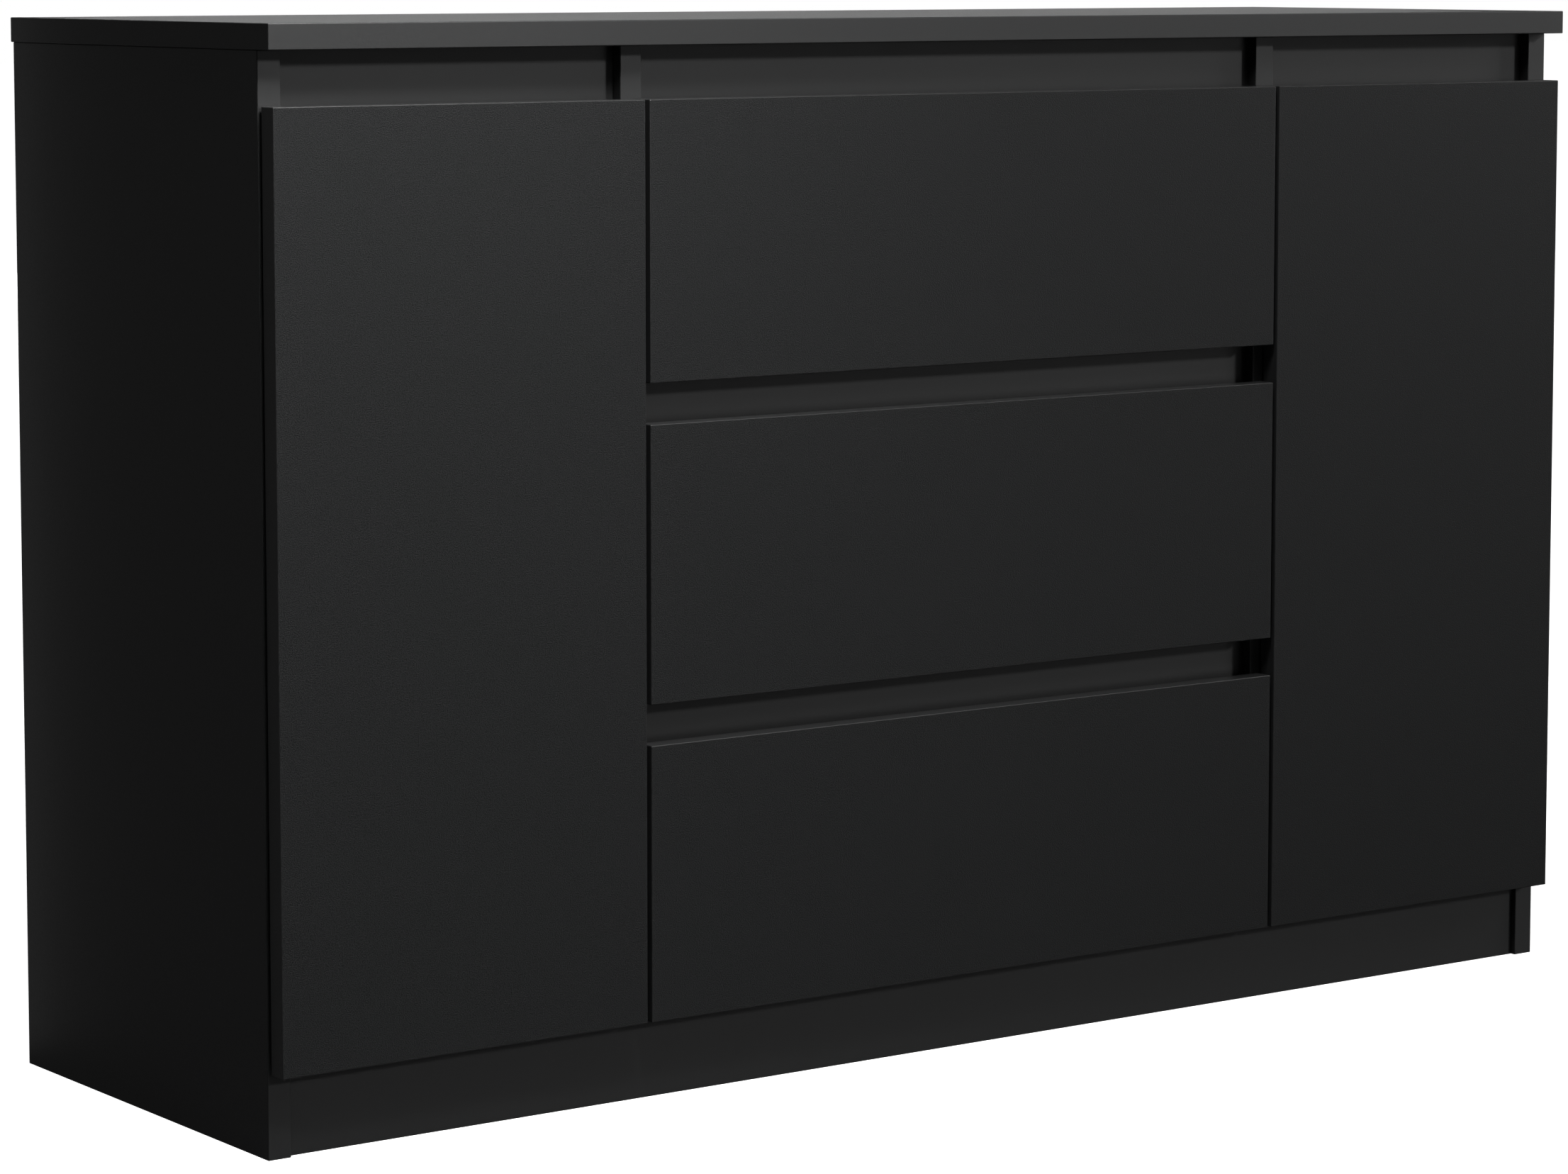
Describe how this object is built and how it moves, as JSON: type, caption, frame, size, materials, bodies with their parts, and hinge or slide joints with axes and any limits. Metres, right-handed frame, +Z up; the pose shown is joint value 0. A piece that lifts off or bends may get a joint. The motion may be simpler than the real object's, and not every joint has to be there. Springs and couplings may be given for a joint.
{
  "type": "dresser with doors and drawers",
  "caption": "Handleless low dresser: hinged doors at the ends, stacked drawers between them, finger gaps above the fronts and a recessed plinth.",
  "frame": {"origin": "on the floor, under the middle of the object's box", "axes": "+X across the width to the right when facing the fronts, -Y out of the fronts, +Z up"},
  "size_m": [1.2, 0.383, 0.778],
  "materials": {
    "black_laminate": "matte black melamine on particle board",
    "front_laminate": "finely speckled matte black melamine on particle board",
    "inner_laminate": "matte black melamine on particle board",
    "raw_hardboard": "raw brown hardboard outside, black lacquer inside",
    "drawer_hardboard": "black lacquered hardboard",
    "beech": "plain fluted beech",
    "zinc_steel": "zinc plated",
    "nickel_steel": "nickel plated",
    "bumper_rubber": "matte"
  },
  "bodies": {
    "carcass": {"top_panel": "black_laminate", "bottom_panel": "black_laminate", "plinth_board": "black_laminate", "left_side_panel": "black_laminate", "right_side_panel": "black_laminate", "left_partition": "black_laminate", "right_partition": "black_laminate", "left_top_rail": "black_laminate", "center_top_rail": "black_laminate", "right_top_rail": "black_laminate", "lower_drawer_rail": "black_laminate", "upper_drawer_rail": "black_laminate", "left_back_panel": "raw_hardboard", "center_back_panel": "raw_hardboard", "right_back_panel": "raw_hardboard", "left_lower_shelf": "inner_laminate", "left_upper_shelf": "inner_laminate", "right_lower_shelf": "inner_laminate", "right_upper_shelf": "inner_laminate", "shelf_pins": "zinc_steel", "cam_locks": "zinc_steel", "cam_bolts": "zinc_steel", "dowels": "beech", "back_panel_nails": "zinc_steel", "euro_screws": "zinc_steel", "door_bumpers": "bumper_rubber", "hinge_arms": "nickel_steel", "hinge_plates": "nickel_steel", "slide_outer_members": "zinc_steel"},
    "left_door": {"left_door_panel": "front_laminate", "left_hinge_cups": "nickel_steel"},
    "left_links": {"left_hinge_links": "nickel_steel"},
    "right_door": {"right_door_panel": "front_laminate", "right_hinge_cups": "nickel_steel"},
    "right_links": {"right_hinge_links": "nickel_steel"},
    "lower_drawer": {"lower_drawer_front": "front_laminate", "lower_drawer_left_side": "inner_laminate", "lower_drawer_right_side": "inner_laminate", "lower_drawer_back": "inner_laminate", "lower_drawer_bottom": "drawer_hardboard", "lower_drawer_slide_inner": "zinc_steel", "lower_drawer_fittings": "zinc_steel"},
    "lower_slide_middles": {"lower_drawer_slide_middle": "zinc_steel"},
    "middle_drawer": {"middle_drawer_front": "front_laminate", "middle_drawer_left_side": "inner_laminate", "middle_drawer_right_side": "inner_laminate", "middle_drawer_back": "inner_laminate", "middle_drawer_bottom": "drawer_hardboard", "middle_drawer_slide_inner": "zinc_steel", "middle_drawer_fittings": "zinc_steel"},
    "middle_slide_middles": {"middle_drawer_slide_middle": "zinc_steel"},
    "upper_drawer": {"upper_drawer_front": "front_laminate", "upper_drawer_left_side": "inner_laminate", "upper_drawer_right_side": "inner_laminate", "upper_drawer_back": "inner_laminate", "upper_drawer_bottom": "drawer_hardboard", "upper_drawer_slide_inner": "zinc_steel", "upper_drawer_fittings": "zinc_steel"},
    "upper_slide_middles": {"upper_drawer_slide_middle": "zinc_steel"}
  },
  "joints": [
    {"name": "left_link_turn", "type": "hinge", "parent": "carcass", "child": "left_links", "pos_m": [-0.5543, -0.1705, 0.391], "axis": [0, 0, 1], "range_deg": [0, 48.85]},
    {"name": "left_door_turn", "type": "hinge", "parent": "left_links", "child": "left_door", "pos_m": [-0.5807, -0.176, 0.391], "axis": [0, 0, -1], "range_deg": [0, 141]},
    {"name": "right_link_turn", "type": "hinge", "parent": "carcass", "child": "right_links", "pos_m": [0.5543, -0.1705, 0.391], "axis": [0, 0, -1], "range_deg": [0, 48.85]},
    {"name": "right_door_turn", "type": "hinge", "parent": "right_links", "child": "right_door", "pos_m": [0.5807, -0.176, 0.391], "axis": [0, 0, 1], "range_deg": [0, 141]},
    {"name": "lower_drawer_slide", "type": "slide", "parent": "carcass", "child": "lower_drawer", "axis": [0, -1, 0], "range_m": [0, 0.3]},
    {"name": "lower_slide_middles_run", "type": "slide", "parent": "carcass", "child": "lower_slide_middles", "axis": [0, -1, 0], "range_m": [0, 0.15]},
    {"name": "middle_drawer_slide", "type": "slide", "parent": "carcass", "child": "middle_drawer", "axis": [0, -1, 0], "range_m": [0, 0.3]},
    {"name": "middle_slide_middles_run", "type": "slide", "parent": "carcass", "child": "middle_slide_middles", "axis": [0, -1, 0], "range_m": [0, 0.15]},
    {"name": "upper_drawer_slide", "type": "slide", "parent": "carcass", "child": "upper_drawer", "axis": [0, -1, 0], "range_m": [0, 0.3]},
    {"name": "upper_slide_middles_run", "type": "slide", "parent": "carcass", "child": "upper_slide_middles", "axis": [0, -1, 0], "range_m": [0, 0.15]}
  ],
  "couplings": [
    {"joint": "left_link_turn", "follows": "left_door_turn", "ratio": 0.34641},
    {"joint": "right_link_turn", "follows": "right_door_turn", "ratio": 0.34641},
    {"joint": "lower_slide_middles_run", "follows": "lower_drawer_slide", "ratio": 0.5},
    {"joint": "middle_slide_middles_run", "follows": "middle_drawer_slide", "ratio": 0.5},
    {"joint": "upper_slide_middles_run", "follows": "upper_drawer_slide", "ratio": 0.5}
  ]
}
